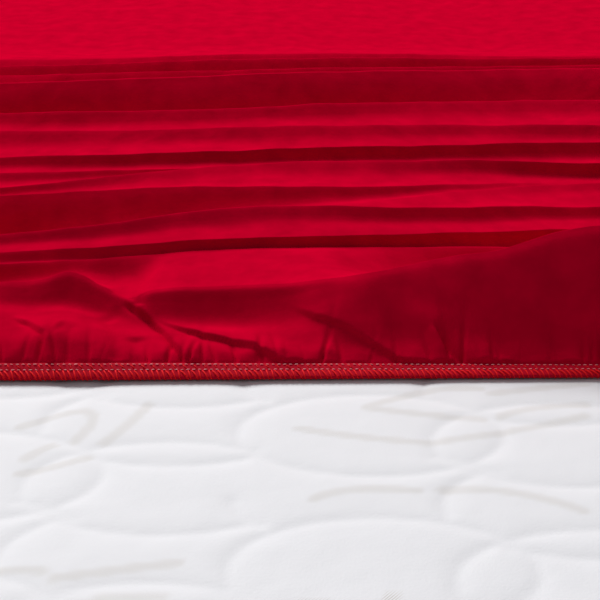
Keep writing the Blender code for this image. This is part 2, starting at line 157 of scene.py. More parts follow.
# The roll that stands up behind the edge: its crest's distance behind the edge and its height, how much
# it climbs in a ledge and then a step, how much it climbs as a flap that lies flat below its crest, and
# how deep the trough behind it is as a share of its height
FRONT_COLUMNS = ("x", "back", "rise", "ledge", "flap", "hollow")
FRONT = (
    (-0.45, 0.046, 0.026, 0.0, 0.0, 0.65),
    (-0.25, 0.050, 0.024, 0.0, 0.0, 0.65),
    (-0.20, 0.058, 0.0270, 0.0, 0.3, 0.50),
    (-0.172, 0.062, 0.0275, 0.0, 0.6, 0.32),
    (-0.150, 0.065, 0.0282, 0.0, 0.8, 0.28),
    (-0.1357, 0.069, 0.0310, 0.0, 1.0, 0.24),
    (-0.128, 0.067, 0.0297, 0.0, 1.0, 0.24),
    (-0.117, 0.062, 0.0252, 0.0, 1.0, 0.26),
    (-0.106, 0.057, 0.0232, 0.2, 0.8, 0.28),
    (-0.096, 0.054, 0.0225, 0.7, 0.3, 0.24),
    (-0.084, 0.054, 0.0250, 1.0, 0.0, 0.0),
    (-0.040, 0.057, 0.0270, 1.0, 0.0, 0.0),
    (-0.010, 0.054, 0.0297, 0.7, 0.0, 0.0),
    (0.018, 0.048, 0.0353, 0.15, 0.0, 0.06),
    (0.037, 0.046, 0.039, 0.0, 0.0, 0.25),
    (0.064, 0.051, 0.043, 0.1, 0.0, 0.50),
    (0.092, 0.050, 0.049, 0.0, 0.0, 0.65),
    (0.110, 0.050, 0.051, 0.0, 0.0, 0.70),
    (0.148, 0.054, 0.062, 0.0, 0.0, 0.75),
    (0.180, 0.055, 0.066, 0.0, 0.0, 0.75),
    (0.25, 0.056, 0.056, 0.0, 0.0, 0.75),
    (0.45, 0.050, 0.036, 0.0, 0.0, 0.75),
)

# Rows of the folded part: on the front roll, on each fold's far and near side and past the last crest
FRONT_STEPS = 64
NEAR_CREST = 0.995
FALL_SHARES = (0.04, 0.40, 1.0)
CLIMB_SHARES = (0.16, 0.30, 0.39, 0.47, 0.60, 0.75, 0.88, 0.98, 1.0)
END_STEPS = 8

# Creases drawn into the cloth. path: (across, behind the edge) of its points, top to foot.
# left and right: how high the cloth stands beside it, on the side towards the left and right.
# reach_left and reach_right: how far that height carries, sideways.
Crease = namedtuple("Crease", "name path left right reach_left reach_right")
CREASES = (
    Crease("flap_edge", ((-0.106, 0.057), (-0.0997, 0.0494), (-0.0923, 0.0436), (-0.0863, 0.0385),
                         (-0.0778, 0.0276), (-0.0711, 0.0144), (-0.0625, 0.0)),
           -0.0019, 0.0019, 0.0026, 0.010),
    Crease("recess", ((-0.110, 0.0640), (-0.102, 0.0560), (-0.0955, 0.0500)),
           -0.0030, -0.0036, 0.0040, 0.0055),
    Crease("inner_left", ((-0.1650, 0.035), (-0.1530, 0.026), (-0.1440, 0.0160), (-0.1400, 0.0)),
           -0.0010, 0.0015, 0.0035, 0.008),
    Crease("soft_left", ((-0.114, 0.045), (-0.110, 0.035), (-0.1035, 0.020), (-0.1010, 0.004)),
           -0.0017, -0.0017, 0.0045, 0.0045),
    Crease("dent_left", ((-0.138, 0.024), (-0.130, 0.020), (-0.1275, 0.0)),
           -0.0014, -0.0014, 0.006, 0.005),
    Crease("dent_mid", ((-0.0930, 0.022), (-0.0905, 0.012), (-0.0890, 0.0)),
           -0.0017, -0.0017, 0.005, 0.005),
    Crease("second_flap", ((-0.0845, 0.039), (-0.0648, 0.0270), (-0.0478, 0.0200), (-0.0335, 0.0142),
                           (-0.0194, 0.0075), (-0.0072, 0.0)),
           -0.0012, 0.0022, 0.0070, 0.012),
    Crease("third_flap", ((-0.0087, 0.0440), (0.0085, 0.0297), (0.0253, 0.0211), (0.0391, 0.0134),
                          (0.0526, 0.0055), (0.0635, 0.0)),
           -0.0010, 0.0019, 0.0070, 0.011),
    Crease("short_pleat", ((0.074, 0.022), (0.0805, 0.0113), (0.089, 0.0)),
           0.0014, -0.0018, 0.006, 0.006),
    Crease("long_ridge", ((0.0395, 0.0345), (0.078, 0.018), (0.094, 0.013), (0.110, 0.0)),
           0.0024, 0.0024, 0.007, 0.009),
    Crease("flap_ridge", ((0.100, 0.040), (0.128, 0.026), (0.150, 0.008)),
           0.0012, 0.0012, 0.010, 0.010),
    Crease("far_left_pleat", ((-0.215, 0.046), (-0.203, 0.024), (-0.196, 0.0)),
           0.0026, -0.0020, 0.012, 0.008),
    Crease("far_right_pleat", ((0.205, 0.046), (0.232, 0.026), (0.246, 0.0)),
           -0.0014, 0.0030, 0.008, 0.014),
    Crease("outer_right_pleat", ((0.285, 0.048), (0.306, 0.024), (0.318, 0.0)),
           -0.0014, 0.0030, 0.008, 0.014),
    Crease("outer_left_pleat", ((-0.310, 0.044), (-0.286, 0.022), (-0.274, 0.0)),
           0.0032, -0.0016, 0.014, 0.008),
)
# Half the width of the step across a crease, and the share of its path over which it grows
CREASE_EDGE = 0.0008
CREASE_FADE = 0.25

# Short gathers that the elastic draws into the cloth all along its edge, and puckers between them.
# SPREAD: how much wider they get with each metre behind the edge. START: where they reach full height.
GATHER_SEED = 11
GATHER_GAP = (0.0045, 0.0115)
GATHER_HEIGHT = (0.0004, 0.0017)
GATHER_RUN = (0.007, 0.022)
GATHER_SLANT = 0.6
GATHER_WIDTH = 0.34
GATHER_SPREAD = 0.25
GATHER_START = 0.008
PUCKER_DEPTH = (0.0, 0.0026)
PUCKER_WIDTH = 0.0007
PUCKER_SPREAD = 0.06
PUCKER_START = 0.0015

# Gathers along the skirt's lower edge. WANDER: how far and how often their spacing changes. TOP and
# END: where on the skirt they are at full height, and how near its edge they end.
SKIRT_GATHER_GAP = 0.021
SKIRT_GATHER_HEIGHT = 0.0022
SKIRT_GATHER_RUN = 0.045
SKIRT_GATHER_WANDER = (0.6, 17.0)
SKIRT_GATHER_TOP = 0.35
SKIRT_GATHER_END = 0.010

# Soft unevenness of the lying cloth: (length across, length along, height, turn in degrees).
# SHIFT: how far on each ripple's waves start. BEND and SWAY: how far and how often they sway.
RIPPLES = (
    (0.210, 0.033, 0.00030, 4.0),
    (0.130, 0.058, 0.00035, -9.0),
    (0.090, 0.090, 0.00025, 31.0),
    (0.047, 0.160, 0.00020, 12.0),
)
RIPPLE_SHIFT = (0.37, 0.61)
RIPPLE_BEND = 0.35
RIPPLE_SWAY = (0.7, 0.2)

# The sheet's mesh: half the width of its fine middle, the steps over each part, and one in how many
# of the middle's columns carries on into the folds and the smooth part
MIDDLE_HALF = 0.195
MIDDLE_STEPS = 180
OUTER_STEPS = 34
OUTER_EASE = 0.3
CORNER_STEPS = 5
ROUND_STEPS = 8
WALL_STEPS = 14
TUCK_STEPS = 3
SMOOTH_STEPS = 90
THINNED = 3
THINNED_FAR = 9

# The mattress: its mesh, the quilting's ovals, and how close the points of a drawn line lie
LINE_STEP = 0.001
QUILT_STEP = 0.0026
QUILT_BACK = -0.66
QUILT_FAR_STEP = 0.060
BORDER_STEPS = 7
OVAL_HALF_WIDE = 0.068
OVAL_HALF_DEEP = 0.042
QUILT_REPEAT = ((0.200, 0.041), (0.0, -0.121))
QUILT_COPIES = 9

# Quilting lines, as arcs of ovals of one size: (the oval's middle across, behind the edge, start and
# end in degrees)
OVALS = (
    (0.036, -0.065, 0, 360),
    (0.036, -0.0045, 186, 218),
    (0.036, -0.0045, 28, 62),
    (-0.065, -0.116, 52, 218),
    (-0.065, -0.116, 222, 306),
    (-0.065, -0.0554, 128, 190),
    (-0.065, -0.0554, 230, 310),
)

# Woven bands of the ticking, each an arc through three points: (across, behind the edge)
WOVEN_REPEAT = ((0.330, 0.0), (0.120, -0.170))
WOVEN_COPIES = 4
WOVEN_HALF_WIDE = 0.0032
WOVEN_SOFT = 0.3
WOVEN_ARCS = (
    ((0.035, -0.038), (0.069, -0.019), (0.098, -0.017)),
    ((0.035, -0.038), (0.063, -0.045), (0.095, -0.050)),
    ((0.000, -0.061), (0.033, -0.070), (0.064, -0.075)),
    ((0.064, -0.075), (0.102, -0.065), (0.149, -0.047)),
    ((0.105, -0.047), (0.125, -0.038), (0.152, -0.034)),
    ((0.104, -0.022), (0.130, -0.016), (0.156, -0.011)),
    ((0.007, -0.128), (0.026, -0.120), (0.055, -0.121)),
    ((0.068, -0.120), (0.102, -0.123), (0.132, -0.139)),
    ((-0.144, -0.059), (-0.126, -0.046), (-0.112, -0.042)),
    ((-0.112, -0.042), (-0.108, -0.054), (-0.114, -0.073)),
    ((-0.081, -0.034), (-0.088, -0.054), (-0.099, -0.075)),
    ((-0.136, -0.091), (-0.130, -0.083), (-0.125, -0.078)),
    ((-0.136, -0.105), (-0.122, -0.099), (-0.105, -0.089)),
)

# The woven bands' threads, and the distance at which Blender's wave texture repeats at scale 1
HATCH_PITCH = 0.0012
HATCH_SLANT_DEG = 38.0
HATCH_COLOUR = (0.56, 0.52, 0.48)
WAVE_UNIT = math.pi / 10

# The edging's foot and tilt across the top, its way out where it turns down a side, and its section
EDGING_COLUMNS = ("x", "foot", "tilt_deg")
EDGING = (
    (-0.45, -0.0120, 22.0),
    (-0.17, -0.0105, 28.0),
    (0.00, -0.0085, 19.0),
    (0.17, -0.0065, 8.0),
    (0.45, -0.0080, 16.0),
)
TURN_WAY = (1.5, -0.8)
BAND_SIDES = 14
BAND_SQUARE = 0.45

# The sewing on the edging, one row a piece. start, end: how far from the cloth it reaches over the band.
# lean: half its run along the edge, and every: the distance from one to the next, as the name of a
# setting and a share of it. off: its height off the band. thick: the thread's. turn, uneven: the most
# that it turns, in radians, and shrinks. thread: its material. path: its points, as shares of the lean
# and of half the reach, and their height.
Sewing = namedtuple("Sewing", "name start end lean every off thick turn uneven thread path")
SEWING = (
    *(Sewing(name, reach, reach, ("stitch_long", 0.5), ("stitch_pitch", 1.0), 0.0001, 0.00048, 0.16, 0.25,
             "stitch_thread",
             ((-1.0, 0.0, 0.0), (-0.6, 0.0, 0.0002), (0.6, 0.0, 0.0002), (1.0, 0.0, 0.0)))
      for name, reach in (("stitch_row_1", 0.0004), ("stitch_row_2", 0.0042))),
    Sewing("edge_loops", 0.0046, 0.0104, ("loop_pitch", 0.55), ("loop_pitch", 1.0), 0.0, 0.00105,
           0.22, 0.12, "edge_thread",
           ((-1.0, 1.0, 0.0001), (-0.4, 0.4, 0.0005), (0.3, -0.4, 0.0005), (0.7, -0.9, 0.0001),
            (0.9, -1.05, -0.0009), (0.9, -0.8, -0.0022))),
    Sewing("cross_threads", 0.0004, 0.0042, ("loop_pitch", 0.45), ("loop_pitch", 2.0), 0.0, 0.0006,
           0.18, 0.10, "edge_thread", ((-1.0, 1.0, 0.0), (0.0, 0.0, 0.0003), (1.0, -1.0, 0.0))),
)
# The edging's materials: the setting that gives the colour, the roughness, and how much the colour
# varies
THREADS = {
    "crimson_band": ("colour", 0.75, 0.25),
    "edge_thread": ("edge_colour", 0.55, 0.20),
    "stitch_thread": ("stitch_colour", 0.5, 0.15),
}
SEWING_SEED = 5
THREAD_SIDES = 6
THREAD_TIP = 0.55  # how thick a thread's ends are, as a share

# The camera and the lights. size: the side of a square lamp.
CAMERA_BACK = 0.70
CAMERA_UP = 0.357
CAMERA_DOWN_DEG = 24.0
LENS = 85.0
SENSOR = 36.0
FLOOR_HALF = 6.0
Lamp = namedtuple("Lamp", "name place target size tint")
KEY_LAMP = Lamp("key", (-3.6, 6.5, 7.4), (0.0, -0.5, HEIGHT), 4.8, (1.0, 0.99, 0.97))
FILL_LAMP = Lamp("fill", (0.3, -2.2, 1.8), (0.0, -0.7, HEIGHT), 1.6, (0.97, 0.98, 1.0))
SKY_TINT = (0.96, 0.97, 1.0, 1.0)


def colour_setting(name, description, default):
    return FloatVectorProperty(
        name=name, description=description, subtype="COLOR", size=3, min=0.0, max=1.0, default=default,
    )


def length_setting(name, description, default, least=0.0):
    return FloatProperty(
        name=name, description=description, unit="LENGTH", default=default, min=least,
    )


class SheetSettings(PropertyGroup):
    colour: colour_setting("Cloth colour", "Colour of the sheet's cloth", (0.56, 0.0, 0.022))
    thread: length_setting("Thread", "Distance from one thread of the weave to the next", 0.0004, 0.0001)
    weave: length_setting("Weave depth", "How deep the weave's relief is", 0.00006)


class EdgingSettings(PropertyGroup):
    colour: colour_setting("Band colour", "Colour of the elastic band", (0.50, 0.0, 0.018))
    edge_colour: colour_setting(
        "Edge thread colour", "Colour of the thread sewn over the edge", (0.86, 0.012, 0.016))
    stitch_colour: colour_setting(
        "Stitch colour", "Colour of the two rows of stitches", (0.95, 0.42, 0.46))
    stitch_pitch: length_setting(
        "Stitch pitch", "Distance from one stitch to the next", 0.0032, 0.001)
    stitch_long: length_setting("Stitch length", "Length of one stitch", 0.0019, 0.0005)
    loop_pitch: length_setting(
        "Loop pitch", "Distance from one loop of the edge thread to the next", 0.00285, 0.001)


class MattressSettings(PropertyGroup):
    colour: colour_setting("Ticking colour", "Colour of the mattress's ticking", (0.80, 0.80, 0.84))
    quilt_depth: length_setting("Quilting depth", "How far a quilting line is drawn in", 0.0011)
    quilt_reach: length_setting(
        "Quilting reach", "How far from its line the padding rises again", 0.0052, 0.001)


class StageSettings(PropertyGroup):
    key_power: FloatProperty(
        name="Key light", description="Power of the large light behind the left shoulder of the folds",
        unit="POWER", default=1480.0, min=0.0,
    )
    fill_power: FloatProperty(
        name="Fill light", description="Power of the soft light over the foot of the mattress",
        unit="POWER", default=4.0, min=0.0,
    )
    ambient: FloatProperty(
        name="Ambient", description="Strength of the light from all round", default=0.16, min=0.0,
    )
    floor_colour: colour_setting("Floor colour", "Colour of the floor", (0.78, 0.78, 0.80))


# A covered block: the path of a skin over its edges and corners
Form = namedtuple("Form", "flat_x flat_y corner round low_round wall top")


def form_over_mattress(clear_side, clear_top, edge_round, corner):
    """The form of a skin that lies clear of the mattress by so much at its sides and top."""
    return Form(
        flat_x=WIDTH / 2 + clear_side - edge_round,
        flat_y=LENGTH / 2 + clear_side - edge_round,
        corner=corner - edge_round,
        round=edge_round,
        low_round=EDGE_ROUND + clear_side,
        wall=HEIGHT + clear_top - edge_round - EDGE_ROUND,
        top=HEIGHT + clear_top,
    )


SHEET = form_over_mattress(CLEAR_SIDE, CLEAR_TOP, SHEET_ROUND, SHEET_CORNER)
MATTRESS = form_over_mattress(0.0, 0.0, EDGE_ROUND, PLAN_CORNER)


def round_arc(form):
    return form.round * math.pi / 2


def edge_section(form, past):
    """The skin's path over an edge: how far out, how high and which way it faces there."""
    turn = np.clip(past / form.round, 0.0, math.pi / 2)
    down = np.clip(past - round_arc(form), 0.0, form.wall)
    under = np.clip(past - round_arc(form) - form.wall, 0.0, None) / form.low_round
    out = form.round * np.sin(turn) - form.low_round * (1 - np.cos(under))
    high = form.top - form.round * (1 - np.cos(turn)) - down - form.low_round * np.sin(under)
    return out, high, np.sin(turn) * np.cos(under), np.cos(turn) - np.sin(under)


def skin(form, u, v, lift):
    """The point at girth u across and length v along the block, raised by lift off its skin."""
    u, v, lift = np.broadcast_arrays(*(np.asarray(a, float) for a in (u, v, lift)))
    past = np.maximum(np.maximum(np.abs(u) - form.flat_x, np.abs(v) - form.flat_y), 0.0)
    inner_x = form.flat_x - form.corner
    inner_y = form.flat_y - form.corner
    across = np.maximum(np.minimum(np.abs(u), form.flat_x) - inner_x, 0.0)
    along = np.maximum(np.minimum(np.abs(v), form.flat_y) - inner_y, 0.0)
    reach = np.maximum(across, along)
    spread = np.maximum(np.hypot(across, along), SAME)
    out_x = np.sign(u) * across / spread
    out_y = np.sign(v) * along / spread
    out, high, lean, stand = edge_section(form, past)
    plan_x = np.sign(u) * np.minimum(np.abs(u), inner_x) + out_x * reach
    plan_y = np.sign(v) * np.minimum(np.abs(v), inner_y) + out_y * reach
    place = np.stack([plan_x + out_x * out, plan_y + out_y * out, high], axis=-1)
    normal = np.stack([out_x * lean, out_y * lean, stand], axis=-1)
    return place + normal * lift[..., None]


def steps(start, end, count):
    """count places from just after start up to end."""
    return [start + (end - start) * (k + 1) / count for k in range(count)]


def curve_through(places, values, x):
    """The smooth curve through values at places, read at x."""
    places = np.asarray(places, float)
    values = np.asarray(values, float)
    slopes = np.gradient(values, places)
    i = np.clip(np.searchsorted(places, x) - 1, 0, len(places) - 2)
    span = places[i + 1] - places[i]
    p = np.clip((x - places[i]) / span, 0.0, 1.0)
    start = (1 + 2 * p) * (1 - p) ** 2 * values[i] + p * (1 - p) ** 2 * span * slopes[i]
    end = p * p * (3 - 2 * p) * values[i + 1] + p * p * (p - 1) * span * slopes[i + 1]
    return start + end


def table_at(table, columns, name, x):
    """A column of a table, read at x on the smooth curve through its rows."""
    places, values = ([row[columns.index(wanted)] for row in table] for wanted in ("x", name))
    return curve_through(places, values, x)


# ---- the sheet's folds ----


def edging_at(x):
    """The cloth's edge across the top at x: its distance back, its height and the edging's tilt."""
    foot = table_at(EDGING, EDGING_COLUMNS, "foot", x)
    tilt = np.radians(table_at(EDGING, EDGING_COLUMNS, "tilt_deg", x))
    return foot + BAND_WIDE * np.cos(tilt), BAND_REST + BAND_WIDE * np.sin(tilt), tilt


def front_at(x, name):
    """A column of the front roll's table, read at x."""
    return table_at(FRONT, FRONT_COLUMNS, name, x)


def fold_lines(x):
    """Distances back and heights of the edge and of every crest and trough behind it, at x."""
    hem_back, hem_lift, _ = edging_at(x)
    backs = [hem_back, front_at(x, "back")]
    rises = [hem_lift - CLOTH / 2, front_at(x, "rise")]
    inner = np.clip(x, RISE_STATIONS[0], RISE_STATIONS[-1])
    for fold in FOLDS:
        crest_back = curve_through(STATIONS, fold.back, x)
        crest_rise = curve_through(RISE_STATIONS, fold.rise, inner)
        depth = curve_through(RISE_STATIONS, fold.dip, inner)
        if fold is FOLDS[0]:
            depth = np.clip(front_at(x, "hollow"), 0.0, 1.0)
        level = rises[-1] + (crest_rise - rises[-1]) * fold.valley
        backs += [backs[-1] + (crest_back - backs[-1]) * fold.valley, crest_back]
        rises += [level * (1 - depth), crest_rise]
    backs.append(np.full_like(x, FOLD_REACH))
    rises.append(np.zeros_like(x))
    return np.array(backs), np.array(rises)


def climb_at(name, share):
    """The share of a climb reached at a share of the way, on the named climb."""
    ways, heights = zip((0.0, 0.0), *CLIMBS[name], (1.0, 1.0))
    return float(curve_through(ways, heights, share))


def fold_at(lines, row, x):
    """Distance back and height of a row of the folds: whole numbers are crests and troughs."""
    backs, rises = lines
    line = min(int(row), len(backs) - 2)
    share = row - line
    back = backs[line] + (backs[line + 1] - backs[line]) * share
    climb = rises[line + 1] - rises[line]
    if line == 0:
        ledge, flap = (np.clip(front_at(x, name), 0.0, 1.0) for name in ("ledge", "flap"))
        ease = (1 - ledge - flap) * climb_at("spread", share)
        ease += ledge * climb_at("ledge", share) + flap * climb_at("flap", share)
        _, _, tilt = edging_at(x)
        level = (1 - share) ** TILT_FADE * np.tan(tilt) * (back - backs[0])
        return back, rises[0] + climb * ease + level
    if line % 2:
        return back, rises[line] + climb * math.sin(share * math.pi / 2) ** FALL
    left, right = (climb_at(name, share) for name in FOLDS[line // 2 - 1].climb)
    over = smooth_step(RISE_STATIONS[0], RISE_STATIONS[-1], x)
    return back, rises[line] + climb * (left + (right - left) * over)


def smooth_step(low, high, value):
    share = np.clip((value - low) / (high - low), 0.0, 1.0)
    return share * share * (3 - 2 * share)


def crease_relief(x, back):
    """Height that the drawn creases add at each point."""
    added = np.zeros_like(x)
    for crease in CREASES:
        nearest = np.full_like(x, np.inf)
        side = np.zeros_like(x)
        share = np.zeros_like(x)
        path = np.array(crease.path)
        for k, (start, end) in enumerate(zip(path, path[1:])):
            way = end - start
            long = math.hypot(*way)
            t = np.clip(((x - start[0]) * way[0] + (back - start[1]) * way[1]) / long**2, 0.0, 1.0)
            off_x = x - start[0] - way[0] * t
            off_back = back - start[1] - way[1] * t
            away = np.hypot(off_x, off_back)
            closer = away < nearest
            turned = np.sign(way[0] * off_back - way[1] * off_x)
            nearest = np.where(closer, away, nearest)
            side = np.where(closer, turned, side)
            share = np.where(closer, (k + t) / (len(path) - 1), share)
        signed = side * nearest
        left = crease.left * np.exp(-((signed / crease.reach_left) ** 2))
        right = crease.right * np.exp(-((signed / crease.reach_right) ** 2))
        over = smooth_step(-CREASE_EDGE, CREASE_EDGE, signed)
        fade = smooth_step(0.0, CREASE_FADE, share)
        added += fade * (left * (1 - over) + right * over)
    return added


def gather_relief(x, behind):
    """Height of the short gathers just behind the edge across the top."""
    chance = np.random.default_rng(GATHER_SEED)
    added = np.zeros_like(x)
    place = STATIONS[0]
    while place < STATIONS[-1]:
        gap = chance.uniform(*GATHER_GAP)
        place += gap
        height = chance.uniform(*GATHER_HEIGHT)
        run = chance.uniform(*GATHER_RUN)
        slant = chance.uniform(-GATHER_SLANT, GATHER_SLANT)
        pucker = chance.uniform(*PUCKER_DEPTH)
        off = (x - place - slant * behind) / (gap * GATHER_WIDTH + behind * GATHER_SPREAD)
        fade = np.exp(-((behind / run) ** 2))
        added += height * fade * smooth_step(0.0, GATHER_START, behind) * np.exp(-(off**2))
        drawn = x - place - gap / 2 - slant * behind / 2
        drawn = drawn / (PUCKER_WIDTH + behind * PUCKER_SPREAD)
        added -= pucker * fade * smooth_step(0.0, PUCKER_START, behind) * np.exp(-(drawn**2))
    return added


def ripple_relief(x, back):
    """Soft unevenness of cloth that lies loosely, never below the nominal surface."""
    added = np.zeros_like(x)
    for k, (across, along, height, turn) in enumerate(RIPPLES):
        cos, sin = math.cos(math.radians(turn)), math.sin(math.radians(turn))
        a = (x * cos + back * sin) / across + RIPPLE_SHIFT[0] * k
        b = (back * cos - x * sin) / along + RIPPLE_SHIFT[1] * k
        bend = RIPPLE_BEND * np.sin(2 * math.pi * (a * RIPPLE_SWAY[0] + RIPPLE_SWAY[1] * k))
        added += height * (1 + np.sin(2 * math.pi * (b + bend)) * np.cos(math.pi * a))
    return added


def skirt_long():
    """The skirt's length from the flat top's end to its lower edge."""
    return round_arc(SHEET) + SHEET.wall + SHEET.low_round * TUCK_TURN


def skirt_share(place, flat_end):
    """How far down the skirt a place is: 0 on the flat top and 1 at the lower edge."""
    return np.clip((np.abs(place) - flat_end) / skirt_long(), 0.0, 1.0)


def skirt_gathers(place, run):
    """Gathers drawn in by the elastic along the skirt's lower edge. run: the way along the edge."""
    above = skirt_long() * (1 - place)
    far, often = SKIRT_GATHER_WANDER
    wave = np.sin(2 * math.pi * (run / SKIRT_GATHER_GAP + far * np.sin(run * often)))
    fade = np.exp(-above / SKIRT_GATHER_RUN) * smooth_step(0.0, SKIRT_GATHER_TOP, place)
    return SKIRT_GATHER_HEIGHT * fade * (1 + wave) / 2 * smooth_step(0.0, SKIRT_GATHER_END, above)


def skirt_places(flat_end):
    """Places over the edge and down the skirt, past the flat top's end."""
    wall_top = flat_end + round_arc(SHEET)
    low = wall_top + SHEET.wall
    return (
        steps(flat_end - SHEET.corner, flat_end, CORNER_STEPS)
        + steps(flat_end, wall_top, ROUND_STEPS)
        + steps(wall_top, low, WALL_STEPS)
        + steps(low, low + SHEET.low_round * TUCK_TURN, TUCK_STEPS)
    )


def sheet_columns():
    """Girths of the sheet's columns, and which of them carry on into the folds and the smooth part."""
    half = steps(0.0, MIDDLE_HALF, MIDDLE_STEPS)
    outer = SHEET.flat_x - SHEET.corner - MIDDLE_HALF
    half += [MIDDLE_HALF + outer * (OUTER_EASE * k + (1 - OUTER_EASE) * k * k)
             for k in steps(0.0, 1.0, OUTER_STEPS)]
    flat = len(half)
    half += skirt_places(SHEET.flat_x)
    folds = [k >= MIDDLE_STEPS or k % THINNED == 0 for k in range(len(half))]
    far = [k >= flat - 1 or k % (THINNED_FAR if k < MIDDLE_STEPS else THINNED) == 0
           for k in range(len(half))]
    u = np.array([-g for g in reversed(half)] + [0.0] + half)
    return u, *(np.array(kept[::-1] + [True] + kept) for kept in (folds, far))


def folded_rows():
    """Row numbers of the folded part, from the edge to where the folds end."""
    rows = [0.0] + steps(0.0, NEAR_CREST, FRONT_STEPS - 1) + [1.0]
    for crest in range(1, 2 * len(FOLDS), 2):
        rows += [crest + share for share in FALL_SHARES]
        rows += [crest + 1 + share for share in CLIMB_SHARES]
    return rows + steps(rows[-1], rows[-1] + 1, END_STEPS)


@cache
def sheet_grid():
    """Girth, length and lift of every point of the sheet, row by row, and the folded rows' count."""
    u, _, _ = sheet_columns()
    x = np.clip(u, STATIONS[0], STATIONS[-1])
    down = skirt_share(u, SHEET.flat_x)
    fall = HEM_FALL * down**2
    calm = 1 - (1 - LOW_FOLDS) * down**SETTLE
    lines = fold_lines(x)
    rows = []
    for row in folded_rows():
        back, lift = fold_at(lines, row, x)
        behind = back - lines[0][0]
        detail = crease_relief(x, back) + gather_relief(x, behind) + ripple_relief(u, back)
        v = HEM_Y + fall + back * (1 - fall / FOLD_REACH)
        settled = smooth_step(0.0, LIFT_START, behind)
        lift = (lift + detail * settled) * calm + SIDE_LIFT * down + skirt_gathers(down, v)
        rows.append((u, v, lift))
    folded = len(rows)
    smooth = steps(HEM_Y + FOLD_REACH, SHEET.flat_y - SHEET.corner, SMOOTH_STEPS)
    for v in smooth + skirt_places(SHEET.flat_y):
        at_head = skirt_share(max(v, 0.0), SHEET.flat_y)
        lower = np.maximum(down, at_head)
        gathers = np.maximum(skirt_gathers(down, v), skirt_gathers(at_head, u))
        lift = SIDE_LIFT * lower + ripple_relief(u, v - HEM_Y) * (1 - lower) + gathers
        rows.append((u, np.full_like(u, v), lift))
    return [np.array(part) for part in zip(*rows)], folded


def placed(name, data):
    """An object made of the data, in the scene."""
    obj = bpy.data.objects.new(name, data)
    bpy.context.scene.collection.objects.link(obj)
    return obj


def finished(name, shape, materials):
    """A smooth-shaded object made of the shape, at the origin."""
    mesh = bpy.data.meshes.new(name)
    shape.to_mesh(mesh)
    shape.free()
    mesh.shade_smooth()
    for material in materials:
        mesh.materials.append(material)
    return placed(name, mesh)


def woven_surface(shape, points, kept, runs):
    """Faces of a grid of points, its unused columns left out, with the cloth's own measure as UV."""
    cloth_uv = shape.loops.layers.uv.new("cloth")
    verts = {}
    for row, column in np.argwhere(kept):
        verts[row, column] = shape.verts.new(points[row, column])
    rows = [[c for c in range(kept.shape[1]) if (r, c) in verts] for r in range(kept.shape[0])]
    for r, (lower, upper) in enumerate(zip(rows, rows[1:])):
        for a, b in zip(upper, upper[1:]):
            below = [c for c in lower if a <= c <= b]
            if len(below) < 2 or below[0] != a or below[-1] != b:
                continue
            places = [(r, c) for c in below] + [(r + 1, b), (r + 1, a)]
            face = shape.faces.new([verts[place] for place in places])
            for loop, place in zip(face.loops, places):
                loop[cloth_uv].uv = runs[place]
    bmesh.ops.remove_doubles(shape, verts=shape.verts[:], dist=WELD)


def make_sheet_cloth(settings):
    """The sheet: one cut of cloth in its folds, its two head corners cut out square and sewn up."""
    (u, v, lift), folded = sheet_grid()
    points = skin(SHEET, u, v, lift + CLOTH / 2)
    stride = np.linalg.norm(np.diff(points, axis=0), axis=-1)
    along = np.vstack([np.zeros(len(u[0])), np.cumsum(stride, axis=0)])
    runs = np.stack([u, along], axis=-1)
    kept = (np.abs(u) <= SHEET.flat_x + SAME) | (v <= SHEET.flat_y + SAME)
    _, folds, far = sheet_columns()
    kept[FRONT_STEPS + len(FALL_SHARES) + 1:] &= folds
    kept[folded:] &= far
    shape = bmesh.new()
    woven_surface(shape, points, kept, runs)
    return finished(CLOTH_PIECE, shape, [crimson_cloth(settings)])


# ---- the elastic edging ----


def edge_loop():
    """The sheet's edge all round, as rows of girth, length, lift, tilt and way out of the cloth."""
    (u, v, lift), _ = sheet_grid()
    side = u[0].max()
    along = np.argwhere(v[:, 0] <= SHEET.flat_y + SAME)[1:, 0]
    slope = np.gradient(v[0], u[0])
    _, _, tilt = edging_at(np.clip(u[0], STATIONS[0], STATIONS[-1]))
    tilt = tilt * (1 - skirt_share(u[0], SHEET.flat_x))
    loop = [(u[0, k], v[0, k], lift[0, k], tilt[k], slope[k], -1.0) for k in range(len(u[0]))]
    loop[0] = (*loop[0][:4], -TURN_WAY[0], TURN_WAY[1])
    loop[-1] = (*loop[-1][:4], *TURN_WAY)
    loop += [(side, v[row, -1], lift[row, -1], 0.0, 1.0, 0.0) for row in along]
    for k in np.argwhere(np.abs(u[-1]) < SHEET.flat_x - SAME)[::-1, 0]:
        loop.append((u[-1, k], v[-1, k], lift[-1, k], 0.0, 0.0, 1.0))
    loop += [(-side, v[row, 0], lift[row, 0], 0.0, -1.0, 0.0) for row in along[::-1]]
    return np.array(loop)


def on_band(loop, reach, rise):
    """Points all round the edging, at a reach out from the cloth and a rise above its middle."""
    u, v, lift, tilt, out_u, out_v = loop.T
    size = np.hypot(out_u, out_v)
    away = reach * np.cos(tilt) + rise * np.sin(tilt)
    high = lift + CLOTH / 2 - reach * np.sin(tilt) + rise * np.cos(tilt)
    return skin(SHEET, u + out_u / size * away, v + out_v / size * away, high)


def band_section():
    """The band's section: a flat oval with nearly square ends, as reach and rise."""
    section = []
    for k in range(BAND_SIDES):
        turn = 2 * math.pi * k / BAND_SIDES
        cos, sin = math.cos(turn), math.sin(turn)
        square = abs(cos) ** BAND_SQUARE * math.copysign(1, cos)
        reach = -BAND_LAP + (BAND_WIDE + BAND_LAP) * (1 + square) / 2
        section.append((reach, BAND_THICK / 2 * abs(sin) ** BAND_SQUARE * math.copysign(1, sin)))
    return section


